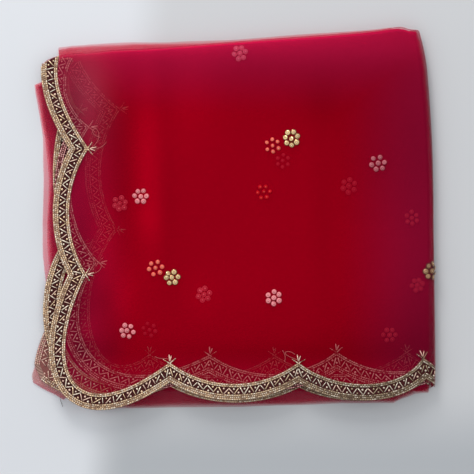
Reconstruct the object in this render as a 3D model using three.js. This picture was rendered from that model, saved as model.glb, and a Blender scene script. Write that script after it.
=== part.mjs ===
// A folded bridal veil: one long red net sheet with a beaded scalloped border, folded into a flat square
// stack that lies on its lowest ply. Millimetres, +X to the right and +Y to the top fold of the stack as
// it is seen from above, +Z up, origin on the floor under the middle of the stack.
import * as THREE from "three";

// Cloth
const clothWall = 1.0; // a ply of springy net, with the air that it holds
const seamGap = 0.3; // between pieces that lie on or beside each other
const borderWidth = 15.7;
const borderWall = 1.0; // beadwork on the lower plies, pressed flat

// Heights of the plies' upper faces, from the floor up
const lowestTop = 1.0;
const hiddenTop = 6.5;
const fourthTop = 8.3;
const thirdTop = 10.9;
const secondTop = 13.5;
const topTop = 16.1;

// Right fold, a round spine that the top ply makes, and the narrow fold at the far edge
const spineBulge = 9.0;
const spineSteps = 7;
const lipRadius = 2.2;
const lipTurn = 2.4; // radians
const lipSteps = 3;
const spineLength = (Math.PI / 2) * (spineBulge + topTop / 2);

// Outermost line of the right fold: x at each height up the sheet
const spineLine = [
  { up: -170, across: 189.0 },
  { up: -144, across: 190.2 },
  { up: -90, across: 190.4 },
  { up: -20, across: 190.2 },
  { up: 38, across: 189.8 },
  { up: 82, across: 188.3 },
  { up: 141, across: 184.1 },
  { up: 160, across: 181.1 },
  { up: 182, across: 175.6 },
];

// Far fold of the top ply: y at each place across
const lipLine = [
  { across: -184, up: 145.5 },
  { across: -176, up: 151.6 },
  { across: -160, up: 156.2 },
  { across: -134, up: 158.4 },
  { across: -113, up: 160.4 },
  { across: -80, up: 162.0 },
  { across: -47, up: 164.6 },
  { across: 6, up: 168.9 },
  { across: 85, up: 174.8 },
  { across: 137, up: 179.4 },
  { across: 158, up: 182.4 },
  { across: 168, up: 180.0 },
  { across: 182, up: 179.4 },
];

// Inner line of each ply's border, from the far fold down the left side, round the near left corner and
// along the near side. sag is how far a scallop bulges; a lopsided one names its two control points. One
// that runs onto a fold has its own number of steps.
const topScallops = [
  { from: [-163, 163], to: [-137.8, 66.5], leave: [-176, 134], arrive: [-160, 98], steps: 28 },
  { from: [-137.8, 66.5], to: [-140, -52.9], sag: 17.5 },
  { from: [-140, -52.9], to: [-61, -136.6], leave: [-181.3, -132.5], arrive: [-161.4, -211], corner: true },
  { from: [-61, -136.6], to: [61.4, -136.6], sag: 20.5 },
  { from: [61.4, -136.6], to: [179.7, -132.1], leave: [91, -161.5], arrive: [156, -168.5] },
  { from: [179.7, -132.1], to: [300, -132.1], sag: 20.5, steps: 50 },
];
const secondScallops = [
  { from: [-152, 154], to: [-136.7, 87], leave: [-166, 130], arrive: [-160, 104] },
  { from: [-136.7, 87], to: [-127.5, -41.9], leave: [-164, 52], arrive: [-160, -10] },
  { from: [-127.5, -41.9], to: [-22.7, -129.2], leave: [-172, -92], arrive: [-142, -190], corner: true },
  { from: [-22.7, -129.2], to: [97.6, -126.2], sag: 20 },
  { from: [97.6, -126.2], to: [216, -124], sag: 20 },
];
const thirdScallops = [
  { from: [-146, 150], to: [-107.2, 104.4], leave: [-140, 134], arrive: [-122, 114] },
  { from: [-107.2, 104.4], to: [-110.1, -10.5], sag: 17.5 },
  { from: [-110.1, -10.5], to: [-80.1, -128.3], leave: [-160, -75], arrive: [-134, -172], corner: true },
  { from: [-80.1, -128.3], to: [38.5, -129.2], sag: 20 },
  { from: [38.5, -129.2], to: [164.5, -126.2], sag: 20 },
  { from: [164.5, -126.2], to: [285, -124], sag: 20 },
];
const fourthScallops = [
  { from: [-152, 150], to: [-146, 103], leave: [-160, 138], arrive: [-158, 112] },
  { from: [-146, 103], to: [-143, -24], sag: 12 },
  { from: [-143, -24], to: [-60, -142], leave: [-184, -62], arrive: [-178, -200], corner: true },
  { from: [-60, -142], to: [62, -143], sag: 17 },
  { from: [62, -143], to: [181, -138], sag: 17 },
  { from: [181, -138], to: [300, -138], sag: 17 },
];

// Cross-section of the top border: across from its inner line and the height of the beadwork there
const topBorderRows = [
  { across: 0, rise: 0.7 },
  { across: 0.9, rise: 1.5 },
  { across: 2.6, rise: 1.5 },
  { across: 3.6, rise: 0.8 },
  { across: 9.4, rise: 0.8 },
  { across: 10.4, rise: 1.6 },
  { across: 12.6, rise: 1.3 },
  { across: 14.6, rise: 1.6 },
  { across: borderWidth, rise: 0.7 },
];
const lowerBorderRows = [
  { across: 0, rise: 0.6 },
  { across: 2, rise: borderWall },
  { across: borderWidth - 3, rise: borderWall },
  { across: borderWidth, rise: 0.6 },
];

// Gold sequin flowers on the top ply, and the bead sprigs at the border's cusps
const flowers = [
  { name: "flower_far", at: [54.8, 76.0], petals: 7, turn: 0.3, rings: 1 },
  { name: "flower_near", at: [-58.8, -56.0], petals: 6, turn: 0.1, rings: 1 },
  { name: "flower_right", at: [188.4, -49.6], petals: 7, turn: 0.5, rings: 3 },
];
const petalRadius = 2.9;
const petalRing = 5.7;
const sequinThickness = 0.9;
const sprigs = [
  { name: "sprig_left_far", cusp: 1, heading: 0.0 },
  { name: "sprig_left_near", cusp: 2, heading: -0.15 },
  { name: "sprig_near_1", cusp: 3, heading: 1.57 },
  { name: "sprig_near_2", cusp: 4, heading: 1.5 },
  { name: "sprig_near_3", cusp: 5, heading: 1.62 },
];
const sprigLength = 7.6;
const sprigHalfWidth = 0.8;
const sprigSpread = 0.75; // radians between prongs

// A smooth line through a table's rows, read at any place
function readTable(rows, key, value, at) {
  const last = rows.length - 1;
  const rising = rows[last][key] > rows[0][key];
  const sorted = rising ? rows : [...rows].reverse();
  if (at <= sorted[0][key]) return sorted[0][value];
  if (at >= sorted[last][key]) return sorted[last][value];
  const i = sorted.findIndex((row) => row[key] > at) - 1;
  const slope = (a, b) => (sorted[b][value] - sorted[a][value]) / (sorted[b][key] - sorted[a][key]);
  const width = sorted[i + 1][key] - sorted[i][key];
  const share = (at - sorted[i][key]) / width;
  const leaving = slope(Math.max(i - 1, 0), i + 1);
  const arriving = slope(i, Math.min(i + 2, last));
  const s2 = share * share;
  const s3 = s2 * share;
  return (
    (2 * s3 - 3 * s2 + 1) * sorted[i][value] +
    (s3 - 2 * s2 + share) * width * leaving +
    (3 * s2 - 2 * s3) * sorted[i + 1][value] +
    (s3 - s2) * width * arriving
  );
}
const spineX = (up) => readTable(spineLine, "up", "across", up);
const lipY = (across) => readTable(lipLine, "across", "up", across);

// The cloth's soft rise and fall over the stack: broad and low, flat at the sides
const swells = [
  { across: -20, up: 10, reach: 120, rise: 0.9 },
  { across: -95, up: 70, reach: 42, rise: -0.7 },
  { across: -100, up: -70, reach: 40, rise: -0.6 },
  { across: 110, up: -60, reach: 50, rise: 0.5 },
  { across: 90, up: 110, reach: 46, rise: -0.5 },
  { across: 150, up: 40, reach: 36, rise: -0.5 },
];
function swell(across, up) {
  let rise = 0;
  for (const s of swells) {
    const far = ((across - s.across) ** 2 + (up - s.up) ** 2) / (s.reach * s.reach);
    rise += s.rise * Math.exp(-far);
  }
  return rise;
}
// Past the edges of the hidden folds the plies bend down a little, all of them alike
const droopFrom = 160;
const droopReach = 25;
const droopDepth = 1.5;
function droop(across, up) {
  const past = Math.max(-droopFrom - across, 0) ** 2 + Math.max(-droopFrom - up, 0) ** 2;
  return (droopDepth * past) / (droopReach * droopReach);
}
const plyHeight = (level, across, up) => level + (swell(across, up) * level) / topTop - droop(across, up);

// A place on the top ply, from its place on the flat cloth: it rolls round the spine on the right and
// over the narrow fold at the far edge. lift is the distance out from its upper face.
function onTopPly(across, up, lift) {
  const lipStart = lipY(Math.min(across, 182)) - lipRadius;
  const flatUp = Math.min(up, lipStart);
  const spineStart = spineX(flatUp) - spineBulge;
  const top = plyHeight(topTop, Math.min(across, spineStart), flatUp);
  const point = new THREE.Vector3(across, flatUp, top);
  const out = new THREE.Vector3(0, 0, 1);
  if (across > spineStart) {
    const angle = Math.min(((across - spineStart) / spineLength) * Math.PI, Math.PI);
    point.x = spineStart + spineBulge * Math.sin(angle);
    point.z = (top / 2) * (1 + Math.cos(angle));
    out.set(Math.sin(angle) / spineBulge, 0, Math.cos(angle) / (top / 2)).normalize();
  }
  if (up > lipStart) {
    const angle = Math.min((up - lipStart) / lipRadius, lipTurn);
    const turned = out.clone().multiplyScalar(Math.cos(angle));
    turned.y += Math.sin(angle);
    return point.addScaledVector(out, -lipRadius).addScaledVector(turned, lipRadius + lift);
  }
  return point.addScaledVector(out, lift);
}

// Scallops
function curveOf(scallop) {
  const from = new THREE.Vector2(...scallop.from);
  const to = new THREE.Vector2(...scallop.to);
  if (scallop.leave) {
    const leave = new THREE.Vector2(...scallop.leave);
    return new THREE.CubicBezierCurve(from, leave, new THREE.Vector2(...scallop.arrive), to);
  }
  const chord = to.clone().sub(from);
  const outward = new THREE.Vector2(chord.y, -chord.x).normalize().multiplyScalar((scallop.sag * 4) / 3);
  const leave = from.clone().addScaledVector(chord, 0.3).add(outward);
  const arrive = to.clone().addScaledVector(chord, -0.3).add(outward);
  return new THREE.CubicBezierCurve(from, leave, arrive, to);
}
const outwardAt = (curve, share) => {
  const along = curve.getTangent(share);
  return new THREE.Vector2(along.y, -along.x);
};

// The line that runs beside a border's inner line at a distance, as one list of points for each scallop.
// At a cusp two neighbours meet on the line that halves their angle. stepsOf gives a scallop's steps.
function besideLine(scallops, distance, stepsOf) {
  const curves = scallops.map(curveOf);
  const mitres = curves.slice(1).map((curve, i) => ({
    cusp: curve.getPoint(0),
    along: outwardAt(curves[i], 1).add(outwardAt(curve, 0)).normalize(),
  }));
  const fine = 60;
  const behind = (mitre, p) => mitre.along.x * (p.y - mitre.cusp.y) - mitre.along.y * (p.x - mitre.cusp.x);
  return curves.map((curve, k) => {
    const steps = stepsOf(scallops[k]);
    let line = [];
    for (let i = 0; i <= fine; i++) {
      const share = Math.min(Math.max(i / fine, 1e-4), 1 - 1e-4);
      line.push(curve.getPoint(share).addScaledVector(outwardAt(curve, share), distance));
    }
    const cutAt = (mitre, sign) => {
      const kept = [];
      line.forEach((p, i) => {
        const here = sign * behind(mitre, p);
        const before = i ? sign * behind(mitre, line[i - 1]) : here;
        if (i && here * before < 0) kept.push(line[i - 1].clone().lerp(p, before / (before - here)));
        if (here > 0) kept.push(p);
      });
      line = kept;
    };
    if (distance > 0) {
      if (k > 0) cutAt(mitres[k - 1], 1);
      if (k < curves.length - 1) cutAt(mitres[k], -1);
    }
    const far = [0];
    for (let i = 1; i < line.length; i++) far.push(far[i - 1] + line[i].distanceTo(line[i - 1]));
    const spaced = [];
    for (let j = 0; j <= steps; j++) {
      const want = (far[far.length - 1] * j) / steps;
      let i = 1;
      while (i < far.length - 1 && far[i] < want) i++;
      spaced.push(line[i - 1].clone().lerp(line[i], (want - far[i - 1]) / (far[i] - far[i - 1])));
    }
    return spaced;
  });
}
const joined = (lists) => lists.flatMap((list, i) => (i ? list.slice(1) : list));

// Splits a line beside the border at the middle of the corner scallop: the left side's part, read from
// the corner up, and the near side's part, read from the corner to the right.
function sides(scallops, distance, stepsOf) {
  const lines = besideLine(scallops, distance, stepsOf);
  const corner = scallops.findIndex((s) => s.corner);
  const half = (lines[corner].length - 1) / 2;
  const left = joined([...lines.slice(0, corner), lines[corner].slice(0, half + 1)]).reverse();
  const near = joined([lines[corner].slice(half), ...lines.slice(corner + 1)]);
  return { left, near };
}

// A closed solid, with its faces turned outward
function solid(points, faces) {
  const volume = ([a, b, c]) => points[a].dot(points[b].clone().cross(points[c]));
  if (faces.reduce((sum, face) => sum + volume(face), 0) < 0) faces.forEach((face) => face.reverse());
  const geometry = new THREE.BufferGeometry();
  geometry.setAttribute("position", new THREE.Float32BufferAttribute(points.flatMap((p) => p.toArray()), 3));
  geometry.setIndex(faces.flat());
  return geometry.toNonIndexed();
}

// A wall between an upper and a lower grid of points, each a list of columns from left to right, with
// each column read from the near side up
function wallBetween(upper, lower) {
  const columns = upper.length;
  const rows = upper[0].length;
  const at = (layer, i, j) => (layer * columns + i) * rows + j;
  const faces = [];
  const quad = (a, b, c, d) => faces.push([a, b, c], [a, c, d]);
  for (let i = 0; i + 1 < columns; i++) {
    for (let j = 0; j + 1 < rows; j++) {
      quad(at(0, i, j), at(0, i + 1, j), at(0, i + 1, j + 1), at(0, i, j + 1));
      quad(at(1, i, j), at(1, i, j + 1), at(1, i + 1, j + 1), at(1, i + 1, j));
    }
    quad(at(1, i, 0), at(1, i + 1, 0), at(0, i + 1, 0), at(0, i, 0));
    quad(at(0, i, rows - 1), at(0, i + 1, rows - 1), at(1, i + 1, rows - 1), at(1, i, rows - 1));
  }
  for (let j = 0; j + 1 < rows; j++) {
    quad(at(0, 0, j), at(0, 0, j + 1), at(1, 0, j + 1), at(1, 0, j));
    quad(at(1, columns - 1, j), at(1, columns - 1, j + 1), at(0, columns - 1, j + 1), at(0, columns - 1, j));
  }
  return solid([...upper.flat(), ...lower.flat()], faces);
}

// A closed solid through sections that are loops of points, with flat ends. profile is one section laid
// flat, which says how an end is filled.
function loft(sections, profile) {
  const count = sections[0].length;
  const faces = [];
  for (let i = 0; i + 1 < sections.length; i++) {
    for (let j = 0; j < count; j++) {
      const next = (j + 1) % count;
      const [a, b, c, d] = [i * count + j, i * count + next, (i + 1) * count + next, (i + 1) * count + j];
      faces.push([a, b, c], [a, c, d]);
    }
  }
  const lastLoop = (sections.length - 1) * count;
  const clockwise = THREE.ShapeUtils.isClockWise(profile);
  for (const corners of THREE.ShapeUtils.triangulateShape(profile, [])) {
    const [a, b, c] = clockwise ? [...corners].reverse() : corners;
    faces.push([a, c, b], [lastLoop + a, lastLoop + b, lastLoop + c]);
  }
  return solid(sections.flat(), faces);
}

const plySteps = (scallop) => (scallop.corner ? 12 : 6);
const fineSteps = (scallop) => (scallop.corner ? 48 : 24);
const lowerBorderSteps = (scallop) => (scallop.corner ? 24 : 10);
const topBorderSteps = (scallop) => (scallop.corner ? 28 : (scallop.steps ?? 13));
const backRows = [0, 5.2, 10.4, borderWidth];

// Plan of a ply: a grid that follows its scalloped left and near edges and its right and far folds
function plyPlan(scallops, rightAt, farAt) {
  const edge = sides(scallops, borderWidth - 0.6, plySteps);
  const near = edge.near.filter((p) => p.x < rightAt(p.y) - 2);
  const left = edge.left.filter((p) => p.y < farAt(p.x) - 2);
  const lastNear = near[near.length - 1];
  const lastLeft = left[left.length - 1];
  near.push(new THREE.Vector2(rightAt(lastNear.y), edge.near[near.length].y));
  left.push(new THREE.Vector2((edge.left[left.length] ?? lastLeft).x, farAt(lastLeft.x)));
  const nearShare = near.map((p) => (p.x - near[0].x) / (near[near.length - 1].x - near[0].x));
  const leftShare = left.map((p) => (p.y - left[0].y) / (left[left.length - 1].y - left[0].y));
  const farLeft = left[left.length - 1];
  const nearRight = near[near.length - 1];
  const farRight = new THREE.Vector2(rightAt(farAt(rightAt(170))), farAt(rightAt(170)));
  return near.map((n, i) =>
    left.map((l, j) => {
      const [u, v] = [nearShare[i], leftShare[j]];
      const farX = farLeft.x + u * (farRight.x - farLeft.x);
      const far = new THREE.Vector2(farX, farAt(farX));
      const rightY = nearRight.y + v * (farRight.y - nearRight.y);
      const right = new THREE.Vector2(rightAt(rightY), rightY);
      const blend = (key) =>
        (1 - v) * n[key] + v * far[key] + (1 - u) * l[key] + u * right[key] -
        ((1 - u) * (1 - v) * near[0][key] + u * (1 - v) * nearRight[key] +
          (1 - u) * v * farLeft[key] + u * v * farRight[key]);
      return new THREE.Vector2(blend("x"), blend("y"));
    }),
  );
}

function lowerPly(scallops, level, rightAt, farAt) {
  const plan = plyPlan(scallops, rightAt, farAt);
  const face = (drop) =>
    plan.map((column) => column.map((p) => new THREE.Vector3(p.x, p.y, plyHeight(level, p.x, p.y) - drop)));
  return wallBetween(face(0), face(clothWall));
}

// The top ply: its plan is carried on round the spine and over the far fold
function topPly() {
  const spineStart = (up) => spineX(up) - spineBulge;
  const lipStart = (across) => lipY(across) - lipRadius;
  const plan = plyPlan(topScallops, spineStart, lipStart);
  const nearEdge = sides(topScallops, borderWidth - 0.6, fineSteps).near;
  const nearAt = (across) => nearEdge.find((p) => p.x >= across).y;
  const lastColumn = plan[plan.length - 1];
  const lowest = lastColumn[0].y;
  const highest = lastColumn[lastColumn.length - 1].y;
  for (let k = 1; k <= spineSteps; k++) {
    const on = (spineLength * k) / spineSteps;
    plan.push(
      lastColumn.map((p) => {
        const share = (p.y - lowest) / (highest - lowest);
        const near = nearAt(p.x + on);
        const up = near + share * (highest - near);
        return new THREE.Vector2(spineStart(up) + on, up);
      }),
    );
  }
  for (const column of plan) {
    const end = column[column.length - 1];
    for (let k = 1; k <= lipSteps; k++) {
      const on = (lipRadius * lipTurn * k) / lipSteps;
      column.push(new THREE.Vector2(end.x, end.y + on));
    }
  }
  const face = (lift) => plan.map((column) => column.map((p) => onTopPly(p.x, p.y, lift)));
  return wallBetween(face(0), face(-clothWall));
}

// A border strip that lies on a ply, from the far fold down the left side, round the corner and along
// the near side: rows beside the inner line, raised by the table, over a flat back
function border(scallops, rows, stepsOf, within, place) {
  const lineAt = (across) => joined(besideLine(scallops, across, stepsOf));
  const lines = rows.map((row) => lineAt(row.across));
  const backLines = backRows.map(lineAt).reverse();
  const kept = lines[0].map((_, i) => i).filter((i) => lines.every((line) => within(line[i])));
  const profile = [
    ...rows.map((row) => new THREE.Vector2(row.across, row.rise)),
    ...[...backRows].reverse().map((across) => new THREE.Vector2(across, 0)),
  ];
  const sections = kept.map((i) => [
    ...rows.map((row, r) => place(lines[r][i], seamGap + row.rise)),
    ...backLines.map((line) => place(line[i], seamGap)),
  ]);
  return loft(sections, profile);
}
const onLevel = (level) => (p, lift) => new THREE.Vector3(p.x, p.y, plyHeight(level, p.x, p.y) + lift);

// Flowers and sprigs lie on the top ply: an outline on the flat cloth, given thickness and carried over,
// with inner rings of points where the ply is bent
function laidOnTopPly(outline, at, thickness, rings) {
  const points = [];
  const faces = [];
  const count = outline.length;
  const level = 1 + rings * count;
  for (const lift of [seamGap, seamGap + thickness]) {
    points.push(onTopPly(at[0], at[1], lift));
    for (let r = 1; r <= rings; r++) {
      const share = r / rings;
      for (const p of outline) points.push(onTopPly(at[0] + p.x * share, at[1] + p.y * share, lift));
    }
  }
  for (let j = 0; j < count; j++) {
    const next = (j + 1) % count;
    const on = (layer, r, k) => layer * level + 1 + (r - 1) * count + k;
    const rim = [on(0, rings, j), on(0, rings, next), on(1, rings, next), on(1, rings, j)];
    faces.push([rim[0], rim[1], rim[2]], [rim[0], rim[2], rim[3]]);
    faces.push([0, on(0, 1, next), on(0, 1, j)], [level, on(1, 1, j), on(1, 1, next)]);
    for (let r = 1; r < rings; r++) {
      const [a, b, c, d] = [on(0, r, j), on(0, r, next), on(0, r + 1, next), on(0, r + 1, j)];
      faces.push([a, b, c], [a, c, d], [a + level, c + level, b + level], [a + level, d + level, c + level]);
    }
  }
  return solid(points, faces);
}
function flowerOutline(petals, turn) {
  const pointsPerPetal = 6;
  const outline = [];
  for (let i = 0; i < petals * pointsPerPetal; i++) {
    const angle = (i / (petals * pointsPerPetal)) * 2 * Math.PI;
    const share = ((i % pointsPerPetal) / pointsPerPetal - 0.5) * ((2 * Math.PI) / petals);
    const half = petalRing * Math.sin(share);
    const out = petalRing * Math.cos(share) + Math.sqrt(Math.max(petalRadius ** 2 - half ** 2, 0.2));
    outline.push(new THREE.Vector2(out * Math.cos(angle + turn), out * Math.sin(angle + turn)));
  }
  return outline;
}
function sprigOutline(heading) {
  const outline = [];
  const root = 2.3;
  const corner = (angle, out, aside) => {
    const [c, s] = [Math.cos(angle), Math.sin(angle)];
    return new THREE.Vector2(out * c - aside * s, out * s + aside * c);
  };
  outline.push(corner(heading, -0.8, 0));
  for (const turn of [-sprigSpread, 0, sprigSpread]) {
    const angle = heading + turn;
    outline.push(corner(angle, root, -sprigHalfWidth), corner(angle, sprigLength, -sprigHalfWidth));
    outline.push(corner(angle, sprigLength, sprigHalfWidth), corner(angle, root, sprigHalfWidth));
  }
  return outline;
}

// The hidden plies share one solid: rounded, with the lips of its folds one over another at the edges
const hiddenBase = lowestTop + seamGap;
const lips = 4;
const lipDepth = 1.9;
function hiddenFolds() {
  const perSide = 9;
  const corners = 5;
  const left = -161;
  const near = -161;
  const radius = 14;
  const zMiddle = topTop / 2;
  const outline = (z, inset) => {
    const bulge = 6 * Math.sqrt(Math.max(1 - ((z - zMiddle) / 6.9) ** 2, 0)) - 0.6;
    const right = (up) => spineX(up) - spineBulge + bulge - inset;
    const far = (across) => lipY(across) - 1 - inset;
    const points = [];
    const l = left + inset;
    const n = near + inset;
    const share = (k) => k / perSide;
    const nearEnd = right(near) - 4;
    const farEnd = far(175) - 2;
    for (let k = 0; k <= corners; k++) {
      const angle = Math.PI + (k / corners) * (Math.PI / 2);
      points.push([l + radius * (1 + Math.cos(angle)), n + radius * (1 + Math.sin(angle))]);
    }
    for (let k = 1; k < perSide; k++) points.push([l + radius + share(k) * (nearEnd - l - radius), n]);
    points.push([nearEnd, n]);
    for (let k = 1; k < perSide; k++) {
      const up = n + share(k) * (farEnd - 6 - n);
      points.push([right(up), up]);
    }
    for (let k = perSide; k >= 1; k--) {
      const across = l + 6 + share(k) * (right(farEnd) - 14 - l - 6);
      points.push([across, far(across)]);
    }
    const leftStart = n + radius;
    for (let k = perSide - 1; k >= 1; k--) points.push([l, leftStart + share(k) * (far(l) - 8 - leftStart)]);
    return points;
  };
  const sections = [];
  const lipHeight = (hiddenTop - hiddenBase) / lips;
  for (let k = 0; k < lips; k++) {
    for (const [rise, inset] of [[0, lipDepth], [0.22, 0.4], [0.5, 0], [0.78, 0.4]]) {
      sections.push({ z: hiddenBase + (k + rise) * lipHeight, inset });
    }
  }
  sections.push({ z: hiddenTop, inset: lipDepth });
  const loops = sections.map(({ z, inset }) => outline(z, inset).map(([x, y]) => new THREE.Vector3(x, y, z)));
  return loft(loops, outline(hiddenTop, lipDepth).map(([x, y]) => new THREE.Vector2(x, y)));
}

// The lowest ply, flat on the floor, from the end of the spine to the left and near edges
function lowestPly() {
  const columns = 10;
  const rows = 10;
  const [leftX, nearY] = [-163, -163];
  const upper = [];
  for (let i = 0; i <= columns; i++) {
    upper.push([]);
    for (let j = 0; j <= rows; j++) {
      const [u, v] = [i / columns, j / rows];
      const up = nearY + v * (lipY(leftX + u * 335) - 3 - nearY);
      const wave = 1.6 * Math.sin(v * 17) * (1 - u);
      const across = leftX + wave + u * (spineX(up) - spineBulge - 0.4 - leftX - wave);
      const nearWave = 1.4 * Math.sin(u * 17) * (1 - v);
      upper[i].push(new THREE.Vector3(across, up + nearWave, lowestTop));
    }
  }
  return wallBetween(upper, upper.map((column) => column.map((p) => new THREE.Vector3(p.x, p.y, 0))));
}

// A folded edge that stands out past the plies above it: a wall bent back on itself round its outer
// line. Each table row is a place along it, with a point of its outer and of its inner line.
function foldedEdge(stations) {
  const slit = 0.5;
  const half = clothWall + slit / 2;
  const bends = [-90, -45, 0, 45, 90].map((degrees) => (degrees * Math.PI) / 180);
  const profileAt = (width) => [
    new THREE.Vector2(0, -half),
    ...bends.map((a) => new THREE.Vector2(width - half + half * Math.cos(a), half * Math.sin(a))),
    new THREE.Vector2(0, half),
    new THREE.Vector2(0, slit / 2),
    new THREE.Vector2(width - half, slit / 2),
    new THREE.Vector2(width - half, -slit / 2),
    new THREE.Vector2(0, -slit / 2),
  ];
  const sections = stations.map((s) => {
    const inner = new THREE.Vector2(...s.inner);
    const way = new THREE.Vector2(...s.outer).sub(inner);
    const width = way.length();
    way.normalize();
    const place = (p) => new THREE.Vector3(inner.x + way.x * p.x, inner.y + way.y * p.x, foldHeight + p.y);
    return profileAt(width).map(place);
  });
  const profile = profileAt(20);
  return loft(sections, profile);
}
const foldHeight = 3.2;
const leftFoldStations = [
  { outer: [-183.0, 130.5], inner: [-161.4, 126] },
  { outer: [-190.0, 127.4], inner: [-161.4, 120] },
  { outer: [-187.4, 112], inner: [-161.4, 108] },
  { outer: [-182.0, 76], inner: [-161.4, 76] },
  { outer: [-180.8, 38], inner: [-161.4, 38] },
  { outer: [-182.6, -4], inner: [-161.4, -4] },
  { outer: [-181.6, -34], inner: [-161.4, -34] },
  { outer: [-179.4, -62], inner: [-161.4, -62] },
  { outer: [-177.5, -100], inner: [-161.4, -100] },
];
const farFoldStations = [
  { outer: [-166.0, 162.6], inner: [-154, 156.6] },
  { outer: [-156.0, 164.6], inner: [-148, 157.0] },
  { outer: [-120, 166.6], inner: [-120, 159.3] },
  { outer: [-96, 168.2], inner: [-96, 161.2] },
  { outer: [-62, 168.0], inner: [-62, 163.2] },
  { outer: [-30, 169.0], inner: [-30, 165.8] },
  { outer: [-4, 170.2], inner: [-4, 167.8] },
];
const nearFoldStations = [
  { outer: [-128, -180.4], inner: [-128, -161.4] },
  { outer: [-100, -181.0], inner: [-100, -161.4] },
  { outer: [-60, -179.4], inner: [-60, -161.4] },
  { outer: [10, -179.4], inner: [10, -161.4] },
  { outer: [60, -177.6], inner: [60, -161.4] },
  { outer: [100, -175.6], inner: [100, -161.4] },
  { outer: [152, -176.0], inner: [152, -161.4] },
  { outer: [160, -171.6], inner: [160, -161.4] },
  { outer: [172, -167.0], inner: [172, -161.4] },
  { outer: [180, -166.4], inner: [180, -162.2] },
  { outer: [185.6, -165.4], inner: [185.6, -163.4] },
];
const cornerFlapStations = [
  { outer: [-180.5, -116], inner: [-161.4, -116] },
  { outer: [-187.2, -129], inner: [-161.5, -130] },
  { outer: [-192.2, -148], inner: [-161.9, -146] },
  { outer: [-191.6, -156.4], inner: [-160.6, -153.6] },
  { outer: [-179.6, -163.4], inner: [-157.0, -158.4] },
  { outer: [-162.0, -172.6], inner: [-150.6, -161.9] },
];

const cloth = { color: 0x9c0418, roughness: 0.72, metalness: 0 };
const sheerCloth = { color: 0xb8455a, roughness: 0.7, metalness: 0 };
const gold = { color: 0xb79a62, roughness: 0.35, metalness: 0.8 };
const veil = new THREE.Group();
function add(name, geometry, finish) {
  const mesh = new THREE.Mesh(geometry, new THREE.MeshStandardMaterial(finish));
  mesh.name = name;
  veil.add(mesh);
}

add("lowest_ply", lowestPly(), cloth);
add("hidden_folds", hiddenFolds(), cloth);
add("left_fold", foldedEdge(leftFoldStations), sheerCloth);
add("far_fold", foldedEdge(farFoldStations), sheerCloth);
add("near_fold", foldedEdge(nearFoldStations), sheerCloth);
add("corner_flap", foldedEdge(cornerFlapStations), sheerCloth);

// Each lower ply ends inside the spine and the far fold
const lowerPlies = [
  { name: "fourth", scallops: fourthScallops, level: fourthTop, inSpine: 6.4, inLip: 3.4 },
  { name: "third", scallops: thirdScallops, level: thirdTop, inSpine: 5.2, inLip: 4.4 },
  { name: "second", scallops: secondScallops, level: secondTop, inSpine: 1.6, inLip: 4.4 },
];
for (const ply of lowerPlies) {
  const rightAt = (up) => spineX(up) - spineBulge + ply.inSpine;
  const farAt = (across) => lipY(across) - ply.inLip;
  const within = (p) => p.x < rightAt(p.y) && p.y < farAt(p.x);
  add(ply.name + "_ply", lowerPly(ply.scallops, ply.level, rightAt, farAt), cloth);
  const strip = border(ply.scallops, lowerBorderRows, lowerBorderSteps, within, onLevel(ply.level));
  add(ply.name + "_border", strip, gold);
}

add("top_ply", topPly(), cloth);
const spineEnd = (up) => spineX(up) - spineBulge + spineLength;
const onTop = (p) => p.x < spineEnd(p.y) - 6.5 && p.y < lipY(p.x) - lipRadius + 0.2;
const topPlace = (p, lift) => onTopPly(p.x, p.y, lift);
add("top_border", border(topScallops, topBorderRows, topBorderSteps, onTop, topPlace), gold);
for (const flower of flowers) {
  const outline = flowerOutline(flower.petals, flower.turn);
  add(flower.name, laidOnTopPly(outline, flower.at, sequinThickness, flower.rings), gold);
}
for (const sprig of sprigs) {
  const cusp = topScallops[sprig.cusp].from;
  const at = [cusp[0] + 1.8 * Math.cos(sprig.heading), cusp[1] + 1.8 * Math.sin(sprig.heading)];
  add(sprig.name, laidOnTopPly(sprigOutline(sprig.heading), at, 1.4, 1), gold);
}

// The middle of the stack goes over the origin
const middle = new THREE.Box3().setFromObject(veil).getCenter(new THREE.Vector3());
veil.children.forEach((mesh) => mesh.geometry.translate(-middle.x, -middle.y, 0));

export default veil;
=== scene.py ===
import math
import random

import bmesh
import bpy
from mathutils import Matrix, Vector


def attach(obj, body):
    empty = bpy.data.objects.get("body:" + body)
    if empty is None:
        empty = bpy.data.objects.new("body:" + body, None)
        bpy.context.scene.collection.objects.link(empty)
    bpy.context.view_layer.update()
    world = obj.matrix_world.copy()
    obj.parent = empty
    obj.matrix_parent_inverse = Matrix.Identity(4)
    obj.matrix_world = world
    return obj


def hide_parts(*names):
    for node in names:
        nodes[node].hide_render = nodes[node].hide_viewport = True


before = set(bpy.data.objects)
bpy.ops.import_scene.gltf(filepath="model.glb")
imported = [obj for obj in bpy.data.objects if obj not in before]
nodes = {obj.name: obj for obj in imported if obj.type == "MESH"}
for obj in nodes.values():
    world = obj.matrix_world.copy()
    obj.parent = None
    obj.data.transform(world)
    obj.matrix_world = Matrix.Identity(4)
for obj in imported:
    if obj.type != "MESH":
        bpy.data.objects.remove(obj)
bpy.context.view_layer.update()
print("frame loaded,", len(nodes), "nodes")

mm = 0.001
centring = Vector((0.111, 0.088, 0.0))  # the stack's middle goes over the origin
luck = random.Random(7)

# Heights of the plies' upper faces, in millimetres
levels = {"top": 16.1, "second": 13.5, "third": 10.9, "fourth": 8.3, "hidden": 6.5}
spine = {"bulge": 9.0, "lift": 16.1}
spineReach = math.pi / 2 * (spine["bulge"] + spine["lift"] / 2)
lip = {"radius": 2.2, "turn": 2.4}
borderWidth = 15.7

# The right fold's outermost line: (up, across)
spineLine = [(-170, 189.0), (-144, 190.2), (-90, 190.4), (-20, 190.2), (38, 189.8), (82, 188.3),
             (141, 184.1), (160, 181.1), (182, 175.6)]
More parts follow.
